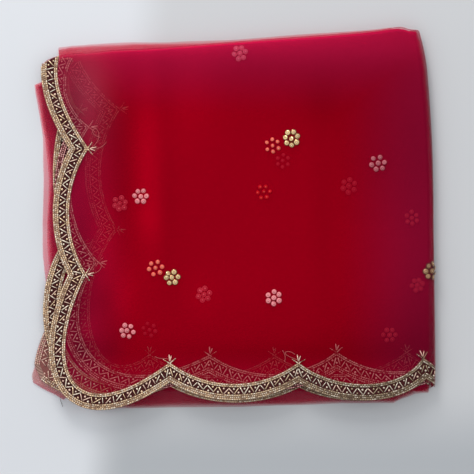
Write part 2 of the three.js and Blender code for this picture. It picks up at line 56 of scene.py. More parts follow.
# The far fold's line: (across, up)
lipLine = [(-184, 145.5), (-176, 151.6), (-160, 156.2), (-134, 158.4), (-113, 160.4), (-80, 162.0),
           (-47, 164.6), (6, 168.9), (85, 174.8), (137, 179.4), (158, 182.4), (168, 180.0), (182, 179.4)]


def readTable(rows, at):
    # a smooth line through the rows
    if at <= rows[0][0]:
        return rows[0][1]
    if at >= rows[-1][0]:
        return rows[-1][1]
    i = max(k for k, row in enumerate(rows) if row[0] <= at)
    i = min(i, len(rows) - 2)

    def slope(a, b):
        return (rows[b][1] - rows[a][1]) / (rows[b][0] - rows[a][0])

    width = rows[i + 1][0] - rows[i][0]
    s = (at - rows[i][0]) / width
    leaving, arriving = slope(max(i - 1, 0), i + 1), slope(i, min(i + 2, len(rows) - 1))
    return ((2 * s**3 - 3 * s**2 + 1) * rows[i][1] + (s**3 - 2 * s**2 + s) * width * leaving
            + (3 * s**2 - 2 * s**3) * rows[i + 1][1] + (s**3 - s**2) * width * arriving)


def smooth(a, b, x):
    s = min(max((x - a) / (b - a), 0.0), 1.0)
    return s * s * (3 - 2 * s)


# Broad rises and hollows of the stack: (across, up, reach, rise)
swells = [(-20, 10, 120, 0.9), (-95, 70, 42, -0.7), (-100, -70, 40, -0.6), (110, -60, 50, 0.5),
          (90, 110, 46, -0.5), (150, 40, 36, -0.5)]
# Soft folds in the top plies: start, end, half width, height
softFolds = [
    ((-84, 148), (-90, -60), 9, 0.45), ((-62, 150), (-58, -20), 7, -0.35), ((-34, 150), (-40, 40), 11, 0.4),
    ((40, 165), (30, -118), 8, 0.3), ((60, 168), (58, -110), 7, -0.3), ((120, 150), (128, -100), 10, 0.35),
    ((-150, 20), (-118, 6), 6, 0.3), ((-120, -112), (-60, -92), 8, 0.3), ((150, 120), (172, -110), 7, -0.35),
    ((-130, 118), (-60, 132), 6, -0.25), ((70, 20), (160, 8), 9, 0.2), ((-60, -110), (110, -112), 9, -0.3),
]


def softFold(across, up):
    rise = 0.0
    for (x0, y0), (x1, y1), half, height in softFolds:
        dx, dy = x1 - x0, y1 - y0
        length = math.hypot(dx, dy)
        s = ((across - x0) * dx + (up - y0) * dy) / length**2
        off = ((across - x0) * dy - (up - y0) * dx) / length
        off += 2.2 * math.sin(s * 7.3 + x0) + 1.2 * math.sin(s * 17.1 + y0)
        ends = smooth(-0.02, 0.25, s) * smooth(1.02, 0.75, s)
        if ends > 0:
            rise += height * ends * math.exp(-((off / half) ** 2)) * (0.8 + 0.2 * math.sin(s * 11 + x1))
    return rise


# The stack falls off past its near left corner, and the soft folds fade toward its edges
cornerFall = {"from": -160, "drop": 1.5, "within": 25}
foldsFade = {"left": (-160, -130), "near": (-150, -125), "right": (168, 140)}


def heightAt(level, across, up):
    share = level / levels["top"]
    rise = sum(h * math.exp(-((across - x) ** 2 + (up - y) ** 2) / r**2) for x, y, r, h in swells)
    past = max(cornerFall["from"] - across, 0) ** 2 + max(cornerFall["from"] - up, 0) ** 2
    fall = cornerFall["drop"] * past / cornerFall["within"] ** 2
    inside = (smooth(*foldsFade["left"], across) * smooth(*foldsFade["near"], up)
              * smooth(*foldsFade["right"], across))
    return level + share * rise - fall + share * inside * softFold(across, up)


def spineStart(up):
    # where the top ply begins to turn down, round the right fold
    return readTable(spineLine, up) - spine["bulge"]


def lipY(across):
    return readTable(lipLine, across)


def lipStart(across):
    return lipY(across) - lip["radius"]


def onTop(across, up, lift=0.0):
    # a place on the top ply, from its place on the flat cloth
    turnsUp = lipStart(across)
    flatUp = min(up, turnsUp)
    turnsAcross = spineStart(flatUp)
    top = heightAt(levels["top"], min(across, turnsAcross), flatUp)
    point, out = Vector((across, flatUp, top)), Vector((0, 0, 1))
    if across > turnsAcross:
        angle = min((across - turnsAcross) / spineReach * math.pi, math.pi)
        point.x = turnsAcross + spine["bulge"] * math.sin(angle)
        point.z = top / 2 * (1 + math.cos(angle))
        out = Vector((math.sin(angle) / spine["bulge"], 0, math.cos(angle) / (top / 2))).normalized()
    if up > turnsUp:
        angle = min((up - turnsUp) / lip["radius"], lip["turn"])
        turned = out * math.cos(angle) + Vector((0, math.sin(angle), 0))
        return point - out * lip["radius"] + turned * (lip["radius"] + lift)
    return point + out * lift


def onLevel(level):
    def place(across, up, lift=0.0):
        return Vector((across, up, heightAt(level, across, up) + lift))
    return place


# A socket that can be used in sums
class Flow:
    def __init__(self, grower, socket):
        self.grower, self.socket = grower, socket

    def math(self, operation, *others):
        return self.grower.math(operation, self, *others)

    def __add__(self, other):
        return self.math("ADD", other)

    def __sub__(self, other):
        return self.math("SUBTRACT", other)

    def __rsub__(self, other):
        return self.grower.math("SUBTRACT", other, self)

    def __mul__(self, other):
        return self.math("MULTIPLY", other)

    def __pow__(self, other):
        return self.math("POWER", other)

    __radd__, __rmul__ = __add__, __mul__


# What grows nodes: the sky and every finish
class Grower:
    def __init__(self, tree):
        self.tree = tree

    def feed(self, socket, value):
        if isinstance(value, Flow):
            self.tree.links.new(value.socket, socket)
        elif hasattr(value, "__len__") and socket.type == "RGBA" and len(value) == 3:
            socket.default_value = (*value, 1)
        else:
            socket.default_value = value

    def node(self, kind, settings=None, inputs=None, output=0):
        node = self.tree.nodes.new(kind)
        for key, value in (settings or {}).items():
            setattr(node, key, value)
        for key, value in (inputs or {}).items():
            self.feed(node.inputs[key], value)
        return Flow(self, node.outputs[output])

    def math(self, operation, *values):
        return self.node("ShaderNodeMath", {"operation": operation}, dict(enumerate(values)))


class Finish(Grower):
    def __init__(self, name, **sockets):
        self.material = bpy.data.materials.new(name)
        self.material.use_nodes = True
        super().__init__(self.material.node_tree)
        self.shader = self.tree.nodes["Principled BSDF"]
        self.set(**sockets)

    def set(self, **sockets):
        for key, value in sockets.items():
            self.feed(self.shader.inputs[key.replace("_", " ")], value)
        return self

    def mix(self, share, first, second, blend="MIX"):
        settings = {"data_type": "RGBA", "blend_type": blend}
        return self.node("ShaderNodeMix", settings, {0: share, 6: first, 7: second}, output=2)

    def cloth(self, scale):
        # the piece's own UV, in millimetres of flat cloth over scale
        uv = self.node("ShaderNodeUVMap", {"uv_map": "cloth"})
        return self.node("ShaderNodeMapping", {}, {"Vector": uv, "Scale": (1 / scale, 1 / scale, 1 / scale)})

    def twoWays(self, uv):
        # along the cloth and across it
        along = self.node("ShaderNodeSeparateXYZ", {}, {0: uv})
        return along, Flow(self, along.socket.node.outputs[1])

    def place(self, axis):
        # the piece's own coordinate, in metres: 0 across, 1 up, 2 height
        spot = self.node("ShaderNodeTexCoord", output=3)
        return self.node("ShaderNodeSeparateXYZ", {}, {0: spot}, output=axis)

    def ramp(self, value, low, high):
        settings = {"interpolation_type": "SMOOTHSTEP"}
        return self.node("ShaderNodeMapRange", settings, {0: value, 1: low, 2: high})

    def noise(self, where, scale, detail=2.0):
        return self.node("ShaderNodeTexNoise", {}, {"Vector": where, "Scale": scale, "Detail": detail})

    def bump(self, height, strength, distance):
        bump = self.node("ShaderNodeBump", {}, {"Height": height, "Strength": strength, "Distance": distance})
        return self.set(Normal=bump)


def shade(colour, gain):
    return tuple(c * gain for c in colour)


# cell and mottle are in millimetres of flat cloth
netLook = {"cell": 1.3, "slant": 0.5, "mottle": 38, "deeper": (0.8, 0.7, 0.8),
           "red": (0.44, 0.0, 0.011), "edge": (0.43, 0.006, 0.044), "haze": (0.47, 0.045, 0.085)}


def netFinish(name, cover, threads=0.1):
    # red net: two sets of threads at a slant, over a soft mottle; cover is its mean opacity
    net = Finish(name, Roughness=0.7, Specular_IOR_Level=0.0)
    x, y = net.twoWays(net.cloth(netLook["cell"]))

    def strand(along):
        return (along * math.pi).math("SINE").math("ABSOLUTE") ** 6

    mesh = strand(x + y * netLook["slant"]).math("MAXIMUM", strand(x - y * netLook["slant"]))
    mottle = net.noise(net.cloth(netLook["mottle"]), 1.0)
    # tone: each point's colour, which carries the stack's painted light and shade
    tone = net.node("ShaderNodeAttribute", {"attribute_name": "tone"})
    deeper = net.mix(1.0, tone, netLook["deeper"], "MULTIPLY")
    net.set(Base_Color=net.mix(mottle * 0.35, tone, deeper))
    net.set(Alpha=(mesh * threads + (mottle - 0.5) * 0.16 + (cover - threads * 0.45)).math("MINIMUM", 1.0))
    return net.bump(mesh, 0.12, 0.0002)


# The border, in millimetres from its inner line: the ribbon's section (across, rise), the band of the
# zigzag with its bugles and spare beads, and the sprays at a cusp (least turn, most turn, length).
# fade: between which places, in metres to the right, painted shade darkens the beads and the cords
borderLook = {
    "section": [(0, 0.25), (0.8, 0.5), (1.65, 0.3), (2.5, 0.5), (3.3, 0.25), (6.75, 0.2), (10.2, 0.25),
                (10.9, 0.5), (11.8, 0.25), (12.8, 0.5), (13.7, 0.25), (14.7, 0.5), (15.7, 0.1)],
    "lift": 0.15, "middle": 6.75, "bandFade": (3.2, 3.9), "paintedShadeRight": (-0.03, 0.13),
    "band": (3.4, 10.2), "tooth": 10.2, "bugle": 7.6, "spare": (8.7, 4.9),
    "sprays": ((-0.5, -0.25, 4.6), (0.0, 0.3, 5.6)),
}


def metalFinish(name, colour, roughness, metallic, coat=0.3, shine=0.5, paintedShadeRight=1.0):
    # fade: how much of the colour is left under the painted shade at the right-hand side
    metal = Finish(name, Base_Color=colour, Roughness=roughness, Metallic=metallic, Coat_Weight=coat,
                   Coat_Roughness=0.15, Specular_IOR_Level=shine)
    if paintedShadeRight < 1:
        side = metal.ramp(metal.place(0), *borderLook["paintedShadeRight"])
        metal.set(Base_Color=metal.mix(side, colour, shade(colour, paintedShadeRight)))
    return metal


def trimFinish(name, ground, cord):
    # ribbon under the beads: a dark band for the zigzag, twisted cord to either side of it
    trim = Finish(name, Roughness=0.7, Specular_IOR_Level=0.05)
    uv = trim.cloth(1.0)
    along, across = trim.twoWays(uv)
    twist = ((along * 2.9 + across * 1.8).math("SINE") * 0.5 + 0.5) ** 0.7
    grain = trim.noise(uv, 1.1, 3.0)
    sides = trim.ramp((across - borderLook["middle"]).math("ABSOLUTE"), *borderLook["bandFade"])
    dark = trim.mix(grain, shade(ground, 0.35), shade(ground, 1.9))
    gold = trim.mix(twist * 0.6 + grain * 0.3, shade(cord, 0.25), cord)
    # painted shade: the cords darken toward the right
    gold = trim.mix(trim.ramp(trim.place(0), *borderLook["paintedShadeRight"]) * 0.75, gold, shade(cord, 0.2))
    trim.set(Base_Color=trim.mix(sides, dark, gold), Metallic=sides * 0.3)
    return trim.bump(twist * sides + grain * 0.4, 0.5, 0.0004)


def addObject(name, data):
    placed = bpy.data.objects.new(name, data)
    bpy.context.scene.collection.objects.link(placed)
    return placed


def finishMesh(name, bm, materials):
    # from millimetres to metres, with the stack's middle over the origin
    bmesh.ops.scale(bm, vec=(mm, mm, mm), verts=bm.verts)
    bmesh.ops.translate(bm, vec=centring * mm, verts=bm.verts)
    mesh = bpy.data.meshes.new(name)
    bm.to_mesh(mesh)
    bm.free()
    for finish in materials:
        mesh.materials.append(finish.material)
    piece = addObject(name, mesh)
    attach(piece, "root")
    return piece


def giveWall(piece, thickness):
    wall = piece.modifiers.new("wall", "SOLIDIFY")
    wall.thickness, wall.offset = thickness * mm, 0.0


def declareSheet(piece, length, width, restsOn):
    # its flat size, in millimetres, turned into metres and not kept
    length * mm
    width * mm


def clothGrid(columns, rows, place, tone=None, flatAt=None):
    # a sheet: a grid whose points are moved to place(u, v), u and v from 0 to 1
    # tone is one colour, or a function of the place on the flat cloth
    bm = bmesh.new()
    bmesh.ops.create_grid(bm, x_segments=columns, y_segments=rows, size=0.5)
    uvLayer = bm.loops.layers.uv.new("cloth")
    toneLayer = bm.verts.layers.float_color.new("tone")
    flat = {}
    for vert in bm.verts:
        u, v = vert.co.x + 0.5, vert.co.y + 0.5
        vert.co = place(u, v)
        flat[vert] = flatAt(u, v) if flatAt else (vert.co.x, vert.co.y)
        colour = tone(*flat[vert]) if callable(tone) else tone or netLook["edge"]
        vert[toneLayer] = (*colour, 1)
    for face in bm.faces:
        face.smooth = True
        for loop in face.loops:
            loop[uvLayer].uv = flat[loop.vert]
    return bm


# Patches of painted light and shade on the stack, which also stand for where the plies lie more or less
# densely: across, up, reach across, reach up, gain
paintedLightAndTonePatches = [
    (-82, 60, 12, 85, 0.32), (-40, 120, 26, 60, 0.16), (30, 0, 110, 95, 0.05), (-104, -70, 14, 28, 0.22),
    (150, 70, 50, 90, -0.20), (75, 130, 90, 45, -0.06), (184, 0, 26, 220, -0.16), (175, -110, 60, 60, -0.22),
    (-150, -95, 9, 40, -0.25), (-112, -104, 16, 18, -0.12), (20, -128, 150, 13, -0.16),
    (-62, 20, 8, 60, -0.06), (84, 0, 10, 100, -0.06), (-108, 30, 12, 60, -0.14), (0, -60, 50, 30, 0.04),
    (0, 172, 240, 20, 0.50), (-143, -60, 12, 60, -0.2), (-152, 95, 9, 45, -0.3), (-120, 140, 30, 30, 0.15),
    (-120, -126, 14, 14, -0.20), (-146, -12, 9, 24, -0.08), (130, -130, 100, 34, -0.15),
    (-142, -122, 10, 12, -0.25),
    (-122, -22, 13, 34, 0.20), (-118, 92, 18, 34, -0.15), (-78, 0, 10, 28, 0.12), (-30, -75, 16, 20, 0.12),
    (82, 112, 22, 22, -0.12), (-80, 112, 16, 16, -0.10), (-80, -1, 14, 14, 0.09), (-122, -78, 10, 14, -0.13),
    (-141, -106, 8, 12, 0.20),
]
# Between these limits the net goes over to its edge colour, and a haze lies at the far left
toneLook = {"right": (95, 185), "left": (-90, -165), "far": (95, 165), "near": (-120, -175), "nearShare": 0.5,
            "hazeAt": (-144, 118), "hazeReach": (22, 42), "haze": 0.75, "darkest": 0.3}


# the net's colour at a place on the stack: edge and haze colours, with the patches' painted light and shade
def stackToneAndPaintedShade(across, up):
    gain = 1.0 + sum(g * math.exp(-((across - x) / rx) ** 2 - ((up - y) / ry) ** 2)
                     for x, y, rx, ry, g in paintedLightAndTonePatches)
    gain = max(gain, toneLook["darkest"])
    rim = max(smooth(*toneLook["right"], across), smooth(*toneLook["left"], across),
              smooth(*toneLook["far"], up), toneLook["nearShare"] * smooth(*toneLook["near"], up))
    (x, y), (rx, ry) = toneLook["hazeAt"], toneLook["hazeReach"]
    haze = toneLook["haze"] * math.exp(-((across - x) / rx) ** 2 - ((up - y) / ry) ** 2)
    mixed = [(1 - rim) * a + rim * b for a, b in zip(netLook["red"], netLook["edge"])]
    return tuple(gain * ((1 - haze) * a + haze * b) for a, b in zip(mixed, netLook["haze"]))


def arc(start, end, sag):
    # a cubic curve whose middle lies sag past its chord
    chord = Vector(end) - Vector(start)
    out = Vector((chord.y, -chord.x)).normalized() * sag * 4 / 3
    return (start, Vector(start) + chord * 0.3 + out, Vector(end) - chord * 0.3 + out, end)


# The border's inner line on each ply, as cubic curves: from, leave, arrive, to
# The third curve is the corner scallop, except on the flap
scallops = {
    "top": [
        ((-163, 163), (-176, 134), (-160, 98), (-137.8, 66.5)),
        arc((-137.8, 66.5), (-140, -52.9), 17.5),
        ((-140, -52.9), (-181.3, -132.5), (-161.4, -211), (-61, -136.6)),
        arc((-61, -136.6), (61.4, -136.6), 20.5),
        ((61.4, -136.6), (91, -161.5), (156, -168.5), (179.7, -132.1)),
        arc((179.7, -132.1), (300, -132.1), 20.5)],
    "second": [
        ((-152, 154), (-166, 130), (-160, 104), (-136.7, 87)),
        ((-136.7, 87), (-164, 52), (-160, -10), (-127.5, -41.9)),
        ((-127.5, -41.9), (-172, -92), (-142, -190), (-22.7, -129.2)),
        arc((-22.7, -129.2), (97.6, -126.2), 20),
        arc((97.6, -126.2), (216, -124), 20)],
    "third": [
        ((-146, 150), (-140, 134), (-122, 114), (-107.2, 104.4)),
        arc((-107.2, 104.4), (-110.1, -10.5), 17.5),
        ((-110.1, -10.5), (-160, -75), (-134, -172), (-80.1, -128.3)),
        arc((-80.1, -128.3), (38.5, -129.2), 20),
        arc((38.5, -129.2), (164.5, -126.2), 20),
        arc((164.5, -126.2), (285, -124), 20)],
    "fourth": [
        ((-152, 150), (-160, 138), (-158, 112), (-146, 103)),
        arc((-146, 103), (-143, -24), 12),
        ((-143, -24), (-184, -62), (-178, -200), (-60, -142)),
        arc((-60, -142), (62, -143), 17),
        arc((62, -143), (181, -138), 17),
        arc((181, -138), (300, -138), 17)],
    "flap": [
        ((-163.5, -108), (-168.5, -118), (-173.0, -130), (-174.5, -141)),
        ((-174.5, -141), (-168.0, -146), (-160.0, -150.5), (-148.0, -155))],
}


def reaches(line):
    # how far along the line each of its points is
    far = [0.0]
    for a, b in zip(line, line[1:]):
        far.append(far[-1] + (b - a).length)
    return far


class BorderLine:
    # rows that run beside the inner line; two scallops' rows meet on the line that halves their angle
    steps, justIn = 60, 1e-4

    def __init__(self, pieces):
        self.pieces = [[Vector(p) for p in piece] for piece in pieces]
        self.rows = {}

    def curve(self, k, s):
        a, b, c, d = self.pieces[k]
        r = 1 - s
        point = a * r**3 + b * 3 * r * r * s + c * 3 * r * s * s + d * s**3
        along = ((b - a) * r * r + (c - b) * 2 * r * s + (d - c) * s * s).normalized()
        return point, Vector((along.y, -along.x))

    def row(self, across):
        if across not in self.rows:
            self.rows[across] = [self.trimmed(k, across) for k in range(len(self.pieces))]
        return self.rows[across]

    def trimmed(self, k, across):
        line = []
        for i in range(self.steps + 1):
            point, out = self.curve(k, min(max(i / self.steps, self.justIn), 1 - self.justIn))
            line.append(point + out * across)
        for cusp, sign in ((k, 1), (k + 1, -1)):
            if across > 0 and 0 < cusp < len(self.pieces):
                at = self.pieces[cusp][0]
                way = self.curve(cusp - 1, 1 - self.justIn)[1] + self.curve(cusp, self.justIn)[1]
                kept, before = [], None
                for i, p in enumerate(line):
                    side = sign * (way.x * (p.y - at.y) - way.y * (p.x - at.x))
                    if i and side * before < 0:
                        kept.append(line[i - 1].lerp(p, before / (before - side)))
                    if side > 0:
                        kept.append(p)
                    before = side
                line = kept
        return line, reaches(line)

    def length(self, k, across):
        return self.row(across)[k][1][-1]

    def at(self, k, across, share):
        line, far = self.row(across)[k]
        want = min(max(share, 0.0), 1.0) * far[-1]
        low, high = 0, len(far) - 1
        while high - low > 1:
            middle = (low + high) // 2
            low, high = (middle, high) if far[middle] <= want else (low, middle)
        return line[low].lerp(line[high], (want - far[low]) / max(far[high] - far[low], 1e-9))


borderLines = {name: BorderLine(pieces) for name, pieces in scallops.items()}

# The plies below the top one end this far inside the right fold and the far lip
plyInsets = {"second": (1.6, 4.4), "third": (5.2, 4.4), "fourth": (6.4, 3.4)}
plyLook = {"corner": 2, "steps": 24, "hem": 0.6, "farRead": 170}


def plyEdges(line):
    # the left edge read up from the middle of the corner, and the near edge read from there to the right
    across, corner, steps = borderWidth - plyLook["hem"], plyLook["corner"], plyLook["steps"]
    left = [line.at(corner, across, s / steps / 2) for s in range(steps, -1, -1)]
    for k in range(corner - 1, -1, -1):
        left += [line.at(k, across, s / steps) for s in range(steps - 1, -1, -1)]
    near = [line.at(corner, across, 0.5 + s / steps / 2) for s in range(steps + 1)]
    for k in range(corner + 1, len(line.pieces)):
        near += [line.at(k, across, s / steps) for s in range(1, steps + 1)]
    return left, near


def alongLine(points, until):
    # a function from 0 to 1 along the line, stopped where until says so
    kept = [points[0]]
    for p in points[1:]:
        kept.append(p)
        if until(p):
            break
    far = reaches(kept)

    def at(share):
        want = share * far[-1]
        i = 1
        while i < len(far) - 1 and far[i] < want:
            i += 1
        return kept[i - 1].lerp(kept[i], (want - far[i - 1]) / max(far[i] - far[i - 1], 1e-9))
    return at


def plyPlan(line, rightAt, farAt):
    # the four sides of a ply, and the sheet that spans them
    left, near = plyEdges(line)
    left = alongLine(left, lambda p: p.y >= farAt(p.x))
    near = alongLine(near, lambda p: p.x >= rightAt(p.y))
    corner, farLeft, nearRight = left(0), left(1), near(1)
    farLeft = Vector((farLeft.x, farAt(farLeft.x)))
    nearRight = Vector((rightAt(nearRight.y), nearRight.y))
    farY = farAt(rightAt(plyLook["farRead"]))
    farRight = Vector((rightAt(farY), farY))

    def plan(u, v):
        far = Vector((farLeft.x + u * (farRight.x - farLeft.x), 0))
        far.y = farAt(far.x)
        right = Vector((0, nearRight.y + v * (farRight.y - nearRight.y)))
        right.x = rightAt(right.y)
        lower, side = near(u), left(v)
        corners = (corner * (1 - u) * (1 - v) + nearRight * u * (1 - v)
                   + farLeft * (1 - u) * v + farRight * u * v)
        return lower * (1 - v) + far * v + side * (1 - u) + right * u - corners
    return plan


def topPlySheet():
    plan = plyPlan(borderLines["top"], spineStart, lipStart)
    _, near = plyEdges(borderLines["top"])
    lowest, highest = plan(1, 0).y, plan(1, 1).y
    spineFrom, lipFrom = 0.88, 0.97  # shares of the grid where the right fold and the far lip begin

    def flatAt(u, v):
        inner = plan(min(u / spineFrom, 1), min(v / lipFrom, 1))
        if u > spineFrom:
            on = (u - spineFrom) / (1 - spineFrom) * spineReach
            share = (inner.y - lowest) / (highest - lowest)
            want = inner.x + on
            edge = next((p for p in near if p.x >= want), near[-1]).y
            inner = Vector((inner.x + on, edge + share * (highest - edge)))
        if v > lipFrom:
            inner.y += (v - lipFrom) / (1 - lipFrom) * lip["radius"] * lip["turn"]
        return inner.x, inner.y

    return clothGrid(150, 130, lambda u, v: onTop(*flatAt(u, v), -0.15), stackToneAndPaintedShade, flatAt)


def lowerPlySheet(name):
    inSpine, inLip = plyInsets[name]
    plan = plyPlan(borderLines[name], lambda up: spineStart(up) + inSpine,
                   lambda across: lipY(across) - inLip)
    place = onLevel(levels[name])
    return clothGrid(100, 90, lambda u, v: place(*plan(u, v), -0.3), stackToneAndPaintedShade)


netTop = netFinish("topNet", 0.50)
netUnder = netFinish("underNet", 0.55)
netDeep = netFinish("deepNet", 1.15, 0.05)
netSingle = netFinish("singleNet", 0.37, 0.14)

plyNets = {"top": finishMesh("topNet", topPlySheet(), [netTop])}
for name in plyInsets:
    plyNets[name] = finishMesh(name + "Net", lowerPlySheet(name), [netUnder])
for name, piece in plyNets.items():
    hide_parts(name + "_ply")
print("plies placed")


# Beads, each made once and set down many times
def beadMesh(bm, material=None):
    # the mesh, and where its points are before it is set down
    for face in bm.faces:
        face.smooth = True
        if material is not None:
            face.material_index = material
    mesh = bpy.data.meshes.new("bead")
    bm.to_mesh(mesh)
    bm.free()
    rest = [0.0] * (len(mesh.vertices) * 3)
    mesh.vertices.foreach_get("co", rest)
    return mesh, rest


def bugle(length, radius, material, sides=6):
    bm = bmesh.new()
    bmesh.ops.create_cone(bm, cap_ends=True, segments=sides, radius1=radius, radius2=radius, depth=length)
    bmesh.ops.rotate(bm, verts=bm.verts, matrix=Matrix.Rotation(math.pi / 2, 3, "Y"))
    return beadMesh(bm, material)


def roundBead(radius, material, finer=1):
    bm = bmesh.new()
    bmesh.ops.create_icosphere(bm, subdivisions=finer, radius=radius)
    return beadMesh(bm, material)


def setDown(bm, bead, point, along, out=Vector((0, 0, 1)), grow=1.0):
    mesh, rest = bead
    x = along.normalized()
    y = out.cross(x).normalized()
    turn = Matrix((x, y, x.cross(y))).transposed().to_4x4()
    mesh.vertices.foreach_set("co", rest)
    mesh.transform(Matrix.Translation(point) @ turn @ Matrix.Scale(grow, 4))
    bm.from_mesh(mesh)


# Rows of beads: distance from the inner line, pitch, bead
beadRows = [(0.8, 2.3, "rim"), (2.5, 2.4, "rim"),
            (10.9, 2.3, "cut"), (12.8, 1.9, "pearl"), (14.7, 2.3, "cut")]
# Each kind of bead in the finishes that are mixed in a row
beads = {
    "rim": [bugle(2.0, 0.58, i, 5) for i in (0, 0, 1, 1, 2)],
    "cut": [bugle(2.0, 0.6, i, 5) for i in (0, 0, 1, 2)],
    "pearl": [roundBead(0.75, i) for i in (0, 1, 1, 2)],
    "long": [bugle(borderLook["bugle"], 0.52, i) for i in (0, 1, 1, 3)],
    "big": [roundBead(1.05, i, 2) for i in (1, 1, 3, 0)],
    "spray": [bugle(5.0, 0.46, 3)],
    "tip": [roundBead(0.5, 3)],
}


def span(line, k, across, keep, reads=80):
    # the part of a scallop's row that is on the ply
    inside = [i / reads for i in range(reads + 1) if keep(line.at(k, across, i / reads))]
    return (inside[0], inside[-1]) if inside else None


def borderRibbon(name, line, place, keep, finish, steps=40):
    rows = borderLook["section"]
    ends = {(k, across): span(line, k, across, keep) for k in range(len(line.pieces)) for across, _ in rows}
    whole = [k for k in range(len(line.pieces)) if all(ends[k, across] for across, _ in rows)]
    stations = [(k, i / steps) for k in whole for i in range(0 if k == whole[0] else 1, steps + 1)]

    def spot(k, across, s):
        low, high = ends[k, across]
        return line.at(k, across, low + s * (high - low))

    reach = reaches([spot(k, borderLook["middle"], s) for k, s in stations])

    def pick(u, v):
        return round(u * (len(stations) - 1)), round(v * (len(rows) - 1))

    def put(u, v):
        i, j = pick(u, v)
        (k, s), (across, rise) = stations[i], rows[j]
        return place(*spot(k, across, s), borderLook["lift"] + rise)

    def flatAt(u, v):
        i, j = pick(u, v)
        return reach[i], rows[j][0]

    bm = clothGrid(len(stations) - 1, len(rows) - 1, put, None, flatAt)
    bmesh.ops.reverse_faces(bm, faces=bm.faces)
    return finishMesh(name, bm, [finish]), reach[-1]


def borderBeads(name, line, place, keep, finishes, sprigs=True):
    bm = bmesh.new()

    def spot(p, way, rise):
        here = place(*p, rise)
        return here, place(*(p + way), rise) - here, place(*p, rise + 1) - here

    def sow(kind, p, way, rise, grow=1.0):
        if keep(p):
            setDown(bm, luck.choice(beads[kind]), *spot(p, way, rise), grow)

    for k in range(len(line.pieces)):
        for across, pitch, kind in beadRows:
            count = max(round(line.length(k, across) / pitch), 1)
            for i in range(count):
                s = (i + 0.5) / count
                way = line.at(k, across, s + 0.01) - line.at(k, across, s - 0.01)
                way.rotate(Matrix.Rotation(luck.uniform(-0.09, 0.09), 2))
                out = Vector((way.y, -way.x)).normalized() * luck.uniform(-0.09, 0.09)
                sow(kind, line.at(k, across, s) + out, way.normalized(), 0.95, luck.uniform(0.86, 1.1))
        # the zigzag, with a round bead in each gap
        teeth = max(round(line.length(k, 7) / borderLook["tooth"]), 1)
        for i in range(teeth * 2):
            low, high = i / (2 * teeth), (i + 1) / (2 * teeth)
            a, b = line.at(k, borderLook["band"][i % 2], low), line.at(k, borderLook["band"][1 - i % 2], high)
            way = b - a
            way.rotate(Matrix.Rotation(luck.uniform(-0.17, 0.17), 2))
            middle = (a + b) / 2 + Vector((luck.uniform(-0.35, 0.35), luck.uniform(-0.35, 0.35)))
            sow("long", middle, way, 0.9, min(way.length / 8.6, 1.05) * luck.uniform(0.86, 1.02))
            spare = line.at(k, borderLook["spare"][i % 2], (low + high) / 2 - 0.25 / teeth)
            spare += Vector((luck.uniform(-0.5, 0.5), luck.uniform(-0.5, 0.5)))
            sow("big", spare, way, 1.0, luck.uniform(0.75, 1.05))
        if sprigs and k:
            cusp = line.pieces[k][0]
            back, ahead = line.curve(k - 1, 0.999)[1], line.curve(k, 0.001)[1]
            inward = -(back + ahead).normalized()
            sprays = [(luck.uniform(low, high), length) for low, high, length in borderLook["sprays"]]
            for turn, length in sprays:
                way = inward.copy()
                way.rotate(Matrix.Rotation(turn, 2))
                sow("spray", cusp + inward * 0.5 + way * (0.6 + length / 2), way, 0.8, length / 5)
                sow("tip", cusp + inward * 0.5 + way * (0.9 + length), way, 0.8)
            # the inner cords run on past the cusp and cross
            for side in (back, ahead):
                way = Vector((-side.y, side.x))
                way = way if way.dot(inward) > 0 else -way
                way.rotate(Matrix.Rotation(luck.uniform(-0.12, 0.12), 2))
                for i in range(4):
                    sow("rim", cusp + side * 0.8 + way * (0.9 + 1.75 * i), way, 1.0 - 0.2 * i, 0.9 - 0.1 * i)
    return finishMesh(name, bm, finishes)


goldBead = metalFinish("goldBeads", (1.0, 0.72, 0.45), 0.26, 0.45, paintedShadeRight=0.42)
creamBead = metalFinish("creamBeads", (1.0, 0.84, 0.65), 0.2, 0.3, 0.5, paintedShadeRight=0.72)
bronzeBead = metalFinish("bronzeBeads", (0.46, 0.27, 0.17), 0.28, 0.5, paintedShadeRight=0.36)
sprayBead = metalFinish("sprayBeads", (0.98, 0.68, 0.52), 0.3, 0.3, paintedShadeRight=0.8)
roseGold = metalFinish("roseGoldBeads", (0.84, 0.38, 0.36), 0.35, 0.3)
rosePearl = metalFinish("rosePearls", (1.0, 0.52, 0.48), 0.3, 0.2)
roseBronze = metalFinish("roseBronzeBeads", (0.30, 0.06, 0.07), 0.4, 0.3)
tanGold = metalFinish("tanGoldBeads", (0.80, 0.50, 0.40), 0.35, 0.3)
goldSet, roseSet = [goldBead, creamBead, bronzeBead, sprayBead], [roseGold, rosePearl, roseBronze, rosePearl]
tanSet = [tanGold, sprayBead, roseGold, tanGold]
# painted shade: trimGold's band ground is dark maroon, darkened further for the shade between the beads
trimGold = trimFinish("trimGold", (0.055, 0.012, 0.012), (0.66, 0.44, 0.29))
trimRose = trimFinish("trimRose", (0.025, 0.001, 0.004), (0.19, 0.045, 0.045))
trimTan = trimFinish("trimTan", (0.24, 0.085, 0.075), (0.62, 0.36, 0.29))


def keepTop(p):
    # the top border goes some way round the right fold and over the far lip
    return p.x < spineStart(p.y) + spineReach - 6.5 and p.y < lipStart(p.x) + 1.6


def keepUnder(name):
    inSpine, inLip = plyInsets[name]
    return lambda p: p.x < spineStart(p.y) + inSpine and p.y < lipY(p.x) - inLip


